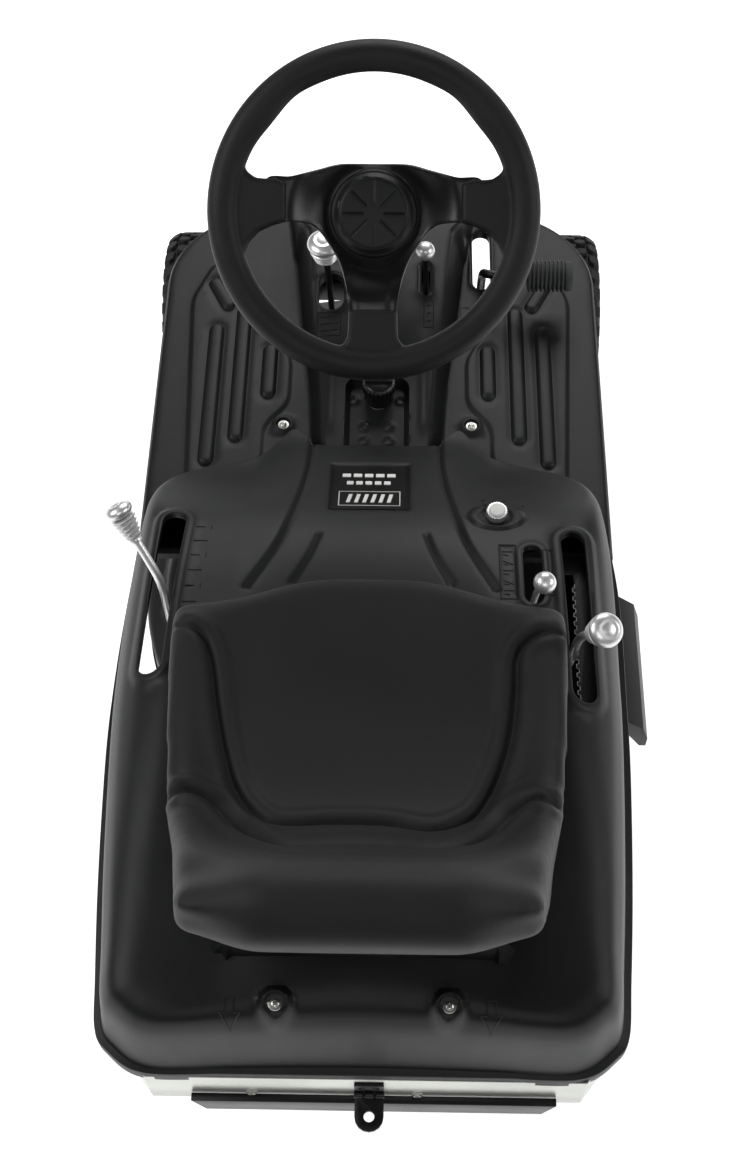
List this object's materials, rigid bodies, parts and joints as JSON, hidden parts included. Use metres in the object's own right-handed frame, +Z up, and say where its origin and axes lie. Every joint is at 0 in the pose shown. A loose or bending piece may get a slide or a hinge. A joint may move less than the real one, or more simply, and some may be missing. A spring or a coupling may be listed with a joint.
{
  "type": "ride-on mower",
  "caption": "Compact rear-engine ride-on mower: bucket seat on a moulded hood, tilted steering wheel, foot deck, side levers, four wheels and a rotary cutting deck underneath.",
  "frame": {"origin": "middle of the footprint box, on the ground", "axes": "+Y forward, the way the driver faces; +X to the driver's right; +Z up"},
  "size_m": [0.692, 1.386, 0.8954],
  "materials": {
    "hood": "black moulded polypropylene, fine grain",
    "foot_deck": "black moulded polypropylene, fine grain",
    "seat_cushion": "black grained vinyl over foam",
    "seat_pan": "black powder coat",
    "steering_rim": "soft black grip foam",
    "steering_spokes": "black satin paint",
    "hub_cap": "black moulded cap",
    "steering_shaft": "plain steel",
    "steering_column": "black tube",
    "steering_rack": "plain steel",
    "front_axle_beam": "black powder coat",
    "front_axle_bracket": "black powder coat",
    "knuckle_left": "forged steel",
    "knuckle_right": "forged steel",
    "frame_rail_left": "black powder coat",
    "frame_rail_right": "black powder coat",
    "rear_plate": "zinc plated sheet",
    "bumper_bar": "black powder coat",
    "tow_hitch": "black powder coat",
    "label_plate": "plain black label",
    "hood_bolt_left": "zinc plated screw",
    "hood_bolt_right": "zinc plated screw",
    "battery": "black case",
    "engine_block": "cast aluminium",
    "engine_shroud": "black blower cover",
    "muffler": "sheet steel",
    "transaxle": "cast aluminium",
    "fuel_tank": "natural polyethylene",
    "fuel_cap": "glossy black",
    "gear_lever_bracket": "black powder coat",
    "lever_bracket": "black powder coat",
    "ignition_switch": "black switch body",
    "ignition_key": "bright ribbed knob",
    "drive_belt": "V-belt",
    "blade_belt": "V-belt",
    "crank_pulley": "turned steel",
    "gearbox_pulley": "pressed steel",
    "spindle_pulley": "pressed steel",
    "blade": "hardened steel",
    "mower_deck": "black powder coat",
    "deflector": "black moulded flap",
    "height_lever": "plated rod",
    "height_knob": "ribbed silver knob",
    "lift_shaft": "plain steel",
    "gear_lever": "plated rod",
    "gear_knob": "ribbed silver knob",
    "throttle_lever": "silver ball lever",
    "blade_lever": "ribbed silver lever",
    "brake_lever": "silver ball lever",
    "pedal_arm": "black powder coat",
    "pedal_pad": "ribbed black rubber",
    "tyre_front_left": "turf tyre",
    "rim_front_left": "grey painted pressing",
    "tyre_front_right": "turf tyre",
    "rim_front_right": "grey painted pressing",
    "tyre_rear_left": "turf tyre",
    "rim_rear_left": "grey painted pressing",
    "tyre_rear_right": "turf tyre",
    "rim_rear_right": "grey painted pressing"
  },
  "bodies": {
    "chassis": {"battery": "battery", "bumper_bar": "bumper_bar", "drive_belt": "drive_belt", "engine_block": "engine_block", "engine_shroud": "engine_shroud", "foot_deck": "foot_deck", "frame_rail_left": "frame_rail_left", "frame_rail_right": "frame_rail_right", "front_axle_bracket": "front_axle_bracket", "fuel_tank": "fuel_tank", "gear_lever_bracket": "gear_lever_bracket", "hood": "hood", "hood_bolt_left": "hood_bolt_left", "hood_bolt_right": "hood_bolt_right", "ignition_switch": "ignition_switch", "label_plate": "label_plate", "lever_bracket": "lever_bracket", "muffler": "muffler", "rear_plate": "rear_plate", "steering_column": "steering_column", "tow_hitch": "tow_hitch", "transaxle": "transaxle"},
    "steering": {"steering_rim": "steering_rim", "steering_spokes": "steering_spokes", "hub_cap": "hub_cap", "steering_shaft": "steering_shaft"},
    "rack": {"steering_rack": "steering_rack"},
    "front_axle": {"front_axle_beam": "front_axle_beam"},
    "knuckle_l": {"knuckle_left": "knuckle_left"},
    "knuckle_r": {"knuckle_right": "knuckle_right"},
    "wheel_front_left": {"tyre_front_left": "tyre_front_left", "rim_front_left": "rim_front_left"},
    "wheel_front_right": {"tyre_front_right": "tyre_front_right", "rim_front_right": "rim_front_right"},
    "wheel_rear_left": {"tyre_rear_left": "tyre_rear_left", "rim_rear_left": "rim_rear_left"},
    "wheel_rear_right": {"tyre_rear_right": "tyre_rear_right", "rim_rear_right": "rim_rear_right"},
    "crank": {"crank_pulley": "crank_pulley"},
    "gearbox_input": {"gearbox_pulley": "gearbox_pulley"},
    "mower": {"mower_deck": "mower_deck", "blade_belt": "blade_belt"},
    "spindle": {"spindle_pulley": "spindle_pulley", "blade": "blade"},
    "chute": {"deflector": "deflector"},
    "height": {"height_lever": "height_lever", "height_knob": "height_knob", "lift_shaft": "lift_shaft"},
    "gear": {"gear_lever": "gear_lever", "gear_knob": "gear_knob"},
    "throttle": {"throttle_lever": "throttle_lever"},
    "blade_engage": {"blade_lever": "blade_lever"},
    "parking_brake": {"brake_lever": "brake_lever"},
    "pedal": {"pedal_arm": "pedal_arm", "pedal_pad": "pedal_pad"},
    "key": {"ignition_key": "ignition_key"},
    "cap": {"fuel_cap": "fuel_cap"},
    "seat": {"seat_cushion": "seat_cushion", "seat_pan": "seat_pan"}
  },
  "joints": [
    {"name": "steering_turn", "type": "hinge", "parent": "chassis", "child": "steering", "pos_m": [-0.019, 0.162, 0.768], "axis": [0, -0.6691, 0.7431], "range_deg": [-160, 160]},
    {"name": "rack_slide", "type": "slide", "parent": "chassis", "child": "rack", "axis": [1, 0, 0], "range_m": [-0.0352, 0.0352]},
    {"name": "front_axle_tilt", "type": "hinge", "parent": "chassis", "child": "front_axle", "pos_m": [-0.019, 0.558, 0.155], "axis": [0, 1, 0], "range_deg": [-2, 2]},
    {"name": "steer_left_turn", "type": "hinge", "parent": "front_axle", "child": "knuckle_l", "pos_m": [-0.204, 0.558, 0.135], "axis": [0, 0, 1], "range_deg": [-30.2, 30.2]},
    {"name": "steer_right_turn", "type": "hinge", "parent": "front_axle", "child": "knuckle_r", "pos_m": [0.166, 0.558, 0.135], "axis": [0, 0, 1], "range_deg": [-30.2, 30.2]},
    {"name": "front_left_roll", "type": "hinge", "parent": "knuckle_l", "child": "wheel_front_left", "pos_m": [-0.298, 0.558, 0.135], "axis": [1, 0, 0], "continuous": true},
    {"name": "front_right_roll", "type": "hinge", "parent": "knuckle_r", "child": "wheel_front_right", "pos_m": [0.26, 0.558, 0.135], "axis": [1, 0, 0], "continuous": true},
    {"name": "rear_left_roll", "type": "hinge", "parent": "chassis", "child": "wheel_rear_left", "pos_m": [-0.237, -0.378, 0.165], "axis": [1, 0, 0], "continuous": true},
    {"name": "rear_right_roll", "type": "hinge", "parent": "chassis", "child": "wheel_rear_right", "pos_m": [0.199, -0.378, 0.165], "axis": [1, 0, 0], "continuous": true},
    {"name": "crank_spin", "type": "hinge", "parent": "chassis", "child": "crank", "pos_m": [-0.019, -0.298, 0.2], "axis": [0, 0, 1], "continuous": true},
    {"name": "gearbox_spin", "type": "hinge", "parent": "chassis", "child": "gearbox_input", "pos_m": [-0.019, -0.458, 0.24], "axis": [0, 0, 1], "continuous": true},
    {"name": "mower_lift", "type": "slide", "parent": "chassis", "child": "mower", "axis": [0, 0, 1], "range_m": [-0.0256, 0.0256]},
    {"name": "spindle_spin", "type": "hinge", "parent": "mower", "child": "spindle", "pos_m": [-0.019, 0.072, 0.14], "axis": [0, 0, 1], "continuous": true},
    {"name": "deflector_swing", "type": "hinge", "parent": "mower", "child": "chute", "pos_m": [0.307, -0.048, 0.16], "axis": [0, 1, 0], "range_deg": [-70, 0]},
    {"name": "height_set", "type": "hinge", "parent": "chassis", "child": "height", "pos_m": [-0.2575, -0.128, 0.2735], "axis": [1, 0, 0], "range_deg": [-25, 25]},
    {"name": "gear_select", "type": "hinge", "parent": "chassis", "child": "gear", "pos_m": [0.216, -0.161, 0.29], "axis": [1, 0, 0], "range_deg": [-40, 8]},
    {"name": "throttle_set", "type": "hinge", "parent": "chassis", "child": "throttle", "pos_m": [0.172, -0.118, 0.4], "axis": [1, 0, 0], "range_deg": [-34, 0]},
    {"name": "blade_engage_set", "type": "hinge", "parent": "chassis", "child": "blade_engage", "pos_m": [-0.085, 0.407, 0.29], "axis": [1, 0, 0], "range_deg": [-14, 14]},
    {"name": "parking_brake_set", "type": "hinge", "parent": "chassis", "child": "parking_brake", "pos_m": [0.0455, 0.417, 0.29], "axis": [1, 0, 0], "range_deg": [-25, 0]},
    {"name": "pedal_press", "type": "hinge", "parent": "chassis", "child": "pedal", "pos_m": [0.1275, 0.512, 0.24], "axis": [1, 0, 0], "range_deg": [-28, 0], "stiffness_Nm_per_rad": 20, "springref_deg": 14.32},
    {"name": "key_turn", "type": "hinge", "parent": "chassis", "child": "key", "pos_m": [0.13, -0.014, 0.442], "axis": [0, 0, 1], "range_deg": [-90, 0]},
    {"name": "cap_turn", "type": "hinge", "parent": "chassis", "child": "cap", "pos_m": [-0.017, 0.247, 0.366], "axis": [0, 0, 1], "range_deg": [0, 90]},
    {"name": "seat_adjust", "type": "slide", "parent": "chassis", "child": "seat", "axis": [0, -1, 0], "range_m": [0, 0.05]}
  ],
  "couplings": [
    {"joint": "rack_slide", "follows": "steering_turn", "m_per_rad": -0.0125},
    {"joint": "steer_left_turn", "follows": "steering_turn", "ratio": 0.187},
    {"joint": "steer_right_turn", "follows": "steering_turn", "ratio": 0.187},
    {"joint": "gearbox_spin", "follows": "crank_spin", "ratio": 0.538},
    {"joint": "spindle_spin", "follows": "crank_spin", "ratio": 0.698},
    {"joint": "mower_lift", "follows": "height_set", "m_per_rad": 0.0581}
  ]
}
